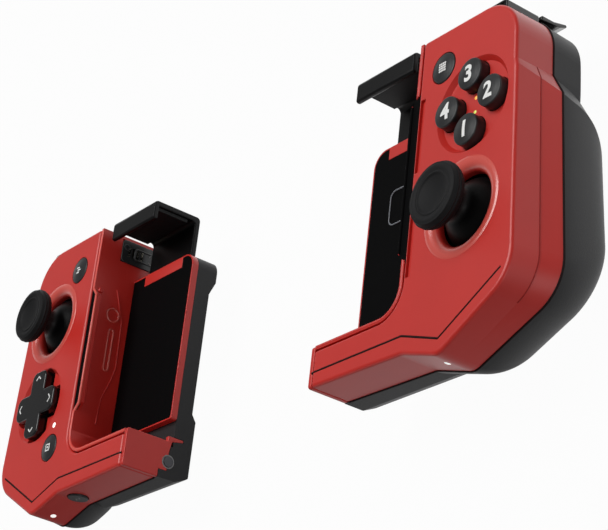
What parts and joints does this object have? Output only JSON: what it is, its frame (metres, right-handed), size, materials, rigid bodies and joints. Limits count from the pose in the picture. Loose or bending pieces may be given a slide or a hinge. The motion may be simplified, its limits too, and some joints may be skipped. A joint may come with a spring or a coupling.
{
  "type": "phone game controller",
  "caption": "Clip-on phone game controller: grip halves with sprung jaws that hold a phone between them, thumbsticks, cross pad, buttons, bumpers and triggers.",
  "frame": {"origin": "centre of the whole controller's box, on the plane of the two grip feet", "axes": "+X from the cross-pad half to the face-button half, +Y towards the bumpers, +Z out of the front faces"},
  "size_m": [0.2508, 0.0964, 0.0431],
  "materials": {
    "red_plastic": "satin moulded",
    "charcoal_plastic": "fine textured",
    "black_plastic": "matte moulded",
    "gloss_black": "glossy moulded",
    "button_plastic": "semi-gloss moulded",
    "black_rubber": "soft matte",
    "grey_silicone": "matte",
    "board": "solder mask",
    "cell_foil": "satin foil",
    "lamp_lens": "translucent",
    "contact_metal": "plated",
    "steel": "plated"
  },
  "bodies": {
    "left_half": {"left_front_shell": "red_plastic", "left_rear_shell": "charcoal_plastic", "left_liner": "red_plastic", "left_phone_pad": "black_rubber", "left_edge_strip": "black_plastic", "left_arm_end_plate": "red_plastic", "left_dock_pin": "steel", "left_jaw_spring": "steel", "left_stick_base": "black_plastic", "left_key_sheet": "grey_silicone", "left_circuit_board": "board", "left_cell": "cell_foil", "left_trigger_pin": "steel", "left_lamps": "lamp_lens", "left_screws": "steel", "contact_block": "black_plastic", "contact_bars": "contact_metal", "cross_post": "steel"},
    "right_half": {"right_front_shell": "red_plastic", "right_rear_shell": "charcoal_plastic", "right_liner": "red_plastic", "right_phone_pad": "black_rubber", "right_edge_strip": "black_plastic", "right_arm_end_plate": "red_plastic", "right_dock_pin": "steel", "right_jaw_spring": "steel", "right_stick_base": "black_plastic", "right_key_sheet": "grey_silicone", "right_circuit_board": "board", "right_cell": "cell_foil", "right_trigger_pin": "steel", "right_lamps": "lamp_lens", "right_screws": "steel", "charging_port": "steel"},
    "left_jaw": {"left_clamp_jaw": "black_plastic", "left_jaw_pad": "black_rubber"},
    "left_gimbal": {"left_stick_ring": "black_plastic"},
    "left_stick_joint": {"left_stick_ball": "black_plastic"},
    "left_stick": {"left_stick_stem": "button_plastic", "left_stick_cap": "black_rubber"},
    "left_bumper_body": {"left_bumper": "gloss_black"},
    "left_trigger_body": {"left_trigger": "gloss_black"},
    "right_jaw": {"right_clamp_jaw": "black_plastic", "right_jaw_pad": "black_rubber"},
    "right_gimbal": {"right_stick_ring": "black_plastic"},
    "right_stick_joint": {"right_stick_ball": "black_plastic"},
    "right_stick": {"right_stick_stem": "button_plastic", "right_stick_cap": "black_rubber"},
    "right_bumper_body": {"right_bumper": "gloss_black"},
    "right_trigger_body": {"right_trigger": "gloss_black"},
    "cross_gimbal": {"cross_ring": "black_plastic"},
    "cross": {"cross_pad": "button_plastic"},
    "face_1": {"face_button_1": "button_plastic"},
    "face_2": {"face_button_2": "button_plastic"},
    "face_3": {"face_button_3": "button_plastic"},
    "face_4": {"face_button_4": "button_plastic"},
    "menu": {"menu_button": "button_plastic"},
    "view": {"view_button": "button_plastic"},
    "capture": {"capture_button": "button_plastic"},
    "link": {"link_button": "button_plastic"}
  },
  "joints": [
    {"name": "spread", "type": "slide", "parent": "left_half", "child": "right_half", "axis": [1, 0, 0], "range_m": [-0.088, 0.02]},
    {"name": "left_jaw_slide", "type": "slide", "parent": "left_half", "child": "left_jaw", "axis": [0, 1, 0], "range_m": [0, 0.016], "stiffness_N_per_m": 120, "springref_m": -0.02},
    {"name": "left_stick_tilt_y", "type": "hinge", "parent": "left_half", "child": "left_gimbal", "pos_m": [-0.1022, 0.01832, 0.0245], "axis": [1, 0, 0], "range_deg": [-15, 15], "stiffness_Nm_per_rad": 0.03},
    {"name": "left_stick_tilt_x", "type": "hinge", "parent": "left_gimbal", "child": "left_stick_joint", "pos_m": [-0.1022, 0.01832, 0.0245], "axis": [0, 1, 0], "range_deg": [-15, 15], "stiffness_Nm_per_rad": 0.03},
    {"name": "left_stick_press", "type": "slide", "parent": "left_stick_joint", "child": "left_stick", "axis": [0, 0, 1], "range_m": [-0.0008, 0], "stiffness_N_per_m": 600, "springref_m": 0.002},
    {"name": "left_bumper_press", "type": "slide", "parent": "left_half", "child": "left_bumper_body", "axis": [0, 1, 0], "range_m": [-0.001, 0], "stiffness_N_per_m": 500, "springref_m": 0.002},
    {"name": "left_trigger_pull", "type": "hinge", "parent": "left_half", "child": "left_trigger_body", "pos_m": [-0.1018, 0.04092, 0.0153], "axis": [1, 0, 0], "range_deg": [-15, 0], "stiffness_Nm_per_rad": 0.03, "springref_deg": 8.59},
    {"name": "right_jaw_slide", "type": "slide", "parent": "right_half", "child": "right_jaw", "axis": [0, 1, 0], "range_m": [0, 0.016], "stiffness_N_per_m": 120, "springref_m": -0.02},
    {"name": "right_stick_tilt_y", "type": "hinge", "parent": "right_half", "child": "right_gimbal", "pos_m": [0.1009, -0.01028, 0.0245], "axis": [1, 0, 0], "range_deg": [-15, 15], "stiffness_Nm_per_rad": 0.03},
    {"name": "right_stick_tilt_x", "type": "hinge", "parent": "right_gimbal", "child": "right_stick_joint", "pos_m": [0.1009, -0.01028, 0.0245], "axis": [0, 1, 0], "range_deg": [-15, 15], "stiffness_Nm_per_rad": 0.03},
    {"name": "right_stick_press", "type": "slide", "parent": "right_stick_joint", "child": "right_stick", "axis": [0, 0, 1], "range_m": [-0.0008, 0], "stiffness_N_per_m": 600, "springref_m": 0.002},
    {"name": "right_bumper_press", "type": "slide", "parent": "right_half", "child": "right_bumper_body", "axis": [0, 1, 0], "range_m": [-0.001, 0], "stiffness_N_per_m": 500, "springref_m": 0.002},
    {"name": "right_trigger_pull", "type": "hinge", "parent": "right_half", "child": "right_trigger_body", "pos_m": [0.1018, 0.04092, 0.0153], "axis": [1, 0, 0], "range_deg": [-15, 0], "stiffness_Nm_per_rad": 0.03, "springref_deg": 8.59},
    {"name": "cross_tilt_y", "type": "hinge", "parent": "left_half", "child": "cross_gimbal", "pos_m": [-0.1025, -0.01028, 0.0289], "axis": [1, 0, 0], "range_deg": [-6, 6], "stiffness_Nm_per_rad": 0.05},
    {"name": "cross_tilt_x", "type": "hinge", "parent": "cross_gimbal", "child": "cross", "pos_m": [-0.1025, -0.01028, 0.0289], "axis": [0, 1, 0], "range_deg": [-6, 6], "stiffness_Nm_per_rad": 0.05},
    {"name": "face_1_press", "type": "slide", "parent": "right_half", "child": "face_1", "axis": [0, 0, 1], "range_m": [-0.0015, 0], "stiffness_N_per_m": 300, "springref_m": 0.002},
    {"name": "face_2_press", "type": "slide", "parent": "right_half", "child": "face_2", "axis": [0, 0, 1], "range_m": [-0.0015, 0], "stiffness_N_per_m": 300, "springref_m": 0.002},
    {"name": "face_3_press", "type": "slide", "parent": "right_half", "child": "face_3", "axis": [0, 0, 1], "range_m": [-0.0015, 0], "stiffness_N_per_m": 300, "springref_m": 0.002},
    {"name": "face_4_press", "type": "slide", "parent": "right_half", "child": "face_4", "axis": [0, 0, 1], "range_m": [-0.0015, 0], "stiffness_N_per_m": 300, "springref_m": 0.002},
    {"name": "menu_press", "type": "slide", "parent": "right_half", "child": "menu", "axis": [0, 0, 1], "range_m": [-0.001, 0], "stiffness_N_per_m": 300, "springref_m": 0.002},
    {"name": "view_press", "type": "slide", "parent": "left_half", "child": "view", "axis": [0, 0, 1], "range_m": [-0.001, 0], "stiffness_N_per_m": 300, "springref_m": 0.002},
    {"name": "capture_press", "type": "slide", "parent": "left_half", "child": "capture", "axis": [0, 0, 1], "range_m": [-0.001, 0], "stiffness_N_per_m": 300, "springref_m": 0.002},
    {"name": "link_press", "type": "slide", "parent": "left_half", "child": "link", "axis": [0, 1, 0], "range_m": [0, 0.0008], "stiffness_N_per_m": 300, "springref_m": -0.002}
  ]
}
